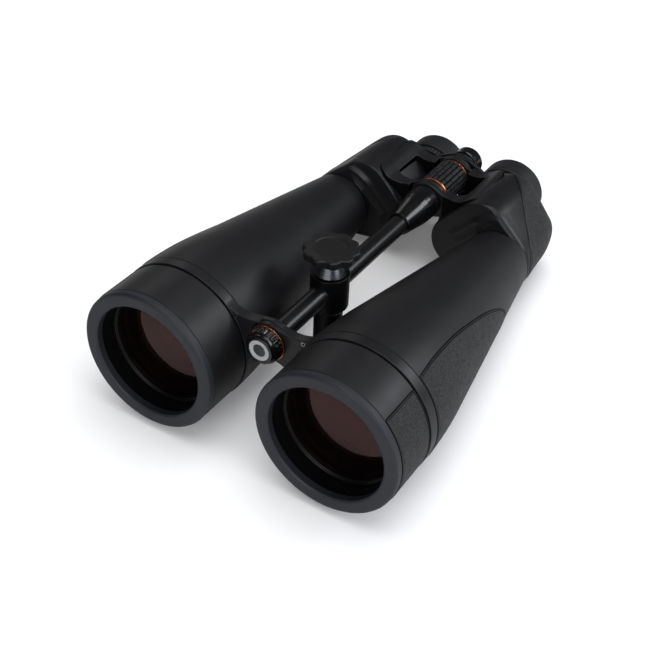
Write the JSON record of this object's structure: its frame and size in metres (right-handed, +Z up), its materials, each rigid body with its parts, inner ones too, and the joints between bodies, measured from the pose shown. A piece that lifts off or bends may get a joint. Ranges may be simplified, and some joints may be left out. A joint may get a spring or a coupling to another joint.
{
  "type": "astronomy binoculars",
  "caption": "Giant astronomy binoculars with tapered barrels, deep hoods, a centre-rod hinge, a focus wheel and a sliding tripod post under a lobed clamp knob.",
  "frame": {"origin": "middle of the footprint at rest, on the table surface", "axes": "+X towards the left barrel as the user looks through it, +Y from the objectives to the eyepieces along the table, +Z up"},
  "size_m": [0.2446, 0.3542, 0.1091],
  "materials": {
    "rubber_smooth": "satin",
    "rubber_stippled": "matte",
    "rim_rubber": "matte",
    "eyecup_rubber": "matte",
    "grip_rubber": "matte",
    "black_paint": "satin",
    "gloss_black": "gloss",
    "flat_black": "matte",
    "polished_steel": "polished",
    "screw_steel": "satin",
    "orange_ring": "satin",
    "badge_white": "gloss",
    "knob_plastic": "satin",
    "shoe_nylon": "matte",
    "thread_brass": "satin",
    "coated_glass": "gloss",
    "clear_glass": "gloss"
  },
  "bodies": {
    "spine": {"hinge_rod": "gloss_black", "hinge_axle": "polished_steel", "rod_sleeve": "gloss_black"},
    "tension_knob": {"tension_knob": "gloss_black", "tension_badge": "badge_white", "tension_ring": "orange_ring"},
    "left_half": {"left_hood_rim": "rim_rubber", "left_hood": "rubber_smooth", "left_lens_cell": "flat_black", "left_retaining_ring": "flat_black", "left_crown_lens": "coated_glass", "left_flint_lens": "clear_glass", "left_barrel_tube": "flat_black", "left_barrel_armour": "rubber_smooth", "left_front_bridge": "black_paint", "left_bridge_screws": "screw_steel", "left_prism_housing": "black_paint", "left_housing_armour": "rubber_stippled", "left_rear_cover": "black_paint", "left_front_prism": "clear_glass", "left_rear_prism": "clear_glass", "left_rear_bridge": "black_paint"},
    "right_half": {"right_hood_rim": "rim_rubber", "right_hood": "rubber_smooth", "right_lens_cell": "flat_black", "right_retaining_ring": "flat_black", "right_crown_lens": "coated_glass", "right_flint_lens": "clear_glass", "right_barrel_tube": "flat_black", "right_barrel_armour": "rubber_smooth", "right_front_bridge": "black_paint", "right_bridge_screws": "screw_steel", "right_prism_housing": "black_paint", "right_housing_armour": "rubber_stippled", "right_rear_cover": "black_paint", "right_front_prism": "clear_glass", "right_rear_prism": "clear_glass", "right_rear_bridge": "black_paint"},
    "focus_wheel": {"focus_core": "black_paint", "focus_grip": "grip_rubber", "focus_rings": "orange_ring"},
    "focus_slide": {"focus_stem": "screw_steel", "rear_cap": "gloss_black"},
    "left_eyepiece": {"left_eyepiece_arm": "black_paint", "left_ocular": "flat_black", "left_field_lens": "clear_glass", "left_eye_lens": "coated_glass"},
    "right_eyepiece": {"right_eyepiece_arm": "black_paint"},
    "diopter_ring": {"diopter_ring": "grip_rubber"},
    "right_ocular": {"right_ocular": "flat_black", "right_field_lens": "clear_glass", "right_eye_lens": "coated_glass"},
    "left_cup_carrier": {"left_eyecup_sleeve": "flat_black"},
    "right_cup_carrier": {"right_eyecup_sleeve": "flat_black"},
    "left_eyecup": {"left_eyecup": "eyecup_rubber"},
    "right_eyecup": {"right_eyecup": "eyecup_rubber"},
    "tripod_post": {"tripod_post": "black_paint", "thread_insert": "thread_brass"},
    "clamp_knob": {"clamp_knob": "knob_plastic"},
    "clamp_shoe": {"clamp_shoe": "shoe_nylon"}
  },
  "joints": [
    {"name": "ipd_left", "type": "hinge", "parent": "spine", "child": "left_half", "pos_m": [0, -0.02149, 0.06659], "axis": [0, 0.996, -0.0897], "range_deg": [-7, 14]},
    {"name": "ipd_right", "type": "hinge", "parent": "spine", "child": "right_half", "pos_m": [0, -0.02149, 0.06659], "axis": [0, 0.996, -0.0897], "range_deg": [-14, 7]},
    {"name": "tension_turn", "type": "hinge", "parent": "spine", "child": "tension_knob", "pos_m": [0, -0.02149, 0.06659], "axis": [0, 0.996, -0.0897], "range_deg": [-90, 90]},
    {"name": "focus_turn", "type": "hinge", "parent": "spine", "child": "focus_wheel", "pos_m": [0, -0.02149, 0.06659], "axis": [0, 0.996, -0.0897], "range_deg": [-270.5, 270.5]},
    {"name": "focus_slide", "type": "slide", "parent": "spine", "child": "focus_slide", "axis": [0, 0.996, -0.0897], "range_m": [-0.004, 0.004]},
    {"name": "left_focus_slide", "type": "slide", "parent": "left_half", "child": "left_eyepiece", "axis": [0, 0.996, -0.0897], "range_m": [-0.00401, 0.00401]},
    {"name": "right_focus_slide", "type": "slide", "parent": "right_half", "child": "right_eyepiece", "axis": [0, 0.996, -0.0897], "range_m": [-0.00401, 0.00401]},
    {"name": "diopter_turn", "type": "hinge", "parent": "right_ocular", "child": "diopter_ring", "pos_m": [-0.0343, 0.15572, 0.02753], "axis": [0, 0.996, -0.0897], "range_deg": [-60, 60]},
    {"name": "diopter_slide", "type": "slide", "parent": "right_eyepiece", "child": "right_ocular", "axis": [0, 0.996, -0.0897], "range_m": [-0.00251, 0.00251]},
    {"name": "left_cup_slide", "type": "slide", "parent": "left_eyepiece", "child": "left_cup_carrier", "axis": [0, 0.996, -0.0897], "range_m": [-0.00001, 0.00801]},
    {"name": "left_cup_twist", "type": "hinge", "parent": "left_cup_carrier", "child": "left_eyecup", "pos_m": [0.0343, 0.15572, 0.02753], "axis": [0, 0.996, -0.0897], "range_deg": [0, 120]},
    {"name": "right_cup_slide", "type": "slide", "parent": "right_ocular", "child": "right_cup_carrier", "axis": [0, 0.996, -0.0897], "range_m": [-0.00001, 0.00801]},
    {"name": "right_cup_twist", "type": "hinge", "parent": "right_cup_carrier", "child": "right_eyecup", "pos_m": [-0.0343, 0.15572, 0.02753], "axis": [0, 0.996, -0.0897], "range_deg": [0, 120]},
    {"name": "post_slide", "type": "slide", "parent": "spine", "child": "tripod_post", "axis": [0, 0.996, -0.0897], "range_m": [-0.05, 0.08]},
    {"name": "clamp_lift", "type": "slide", "parent": "tripod_post", "child": "clamp_shoe", "axis": [0, 0.0897, 0.996], "range_m": [-0.00001, 0.00095]},
    {"name": "clamp_turn", "type": "hinge", "parent": "clamp_shoe", "child": "clamp_knob", "pos_m": [0, -0.05737, 0.04723], "axis": [0, 0.0897, 0.996], "range_deg": [0, 270]}
  ],
  "couplings": [
    {"joint": "ipd_right", "follows": "ipd_left", "ratio": -1},
    {"joint": "focus_turn", "follows": "focus_slide", "rad_per_m": 1178.1},
    {"joint": "left_focus_slide", "follows": "focus_slide", "ratio": 1},
    {"joint": "right_focus_slide", "follows": "focus_slide", "ratio": 1},
    {"joint": "diopter_slide", "follows": "diopter_turn", "m_per_rad": 0.0023873},
    {"joint": "left_cup_slide", "follows": "left_cup_twist", "m_per_rad": 0.0038197},
    {"joint": "right_cup_slide", "follows": "right_cup_twist", "m_per_rad": 0.0038197},
    {"joint": "clamp_lift", "follows": "clamp_turn", "m_per_rad": 0.00019947}
  ]
}
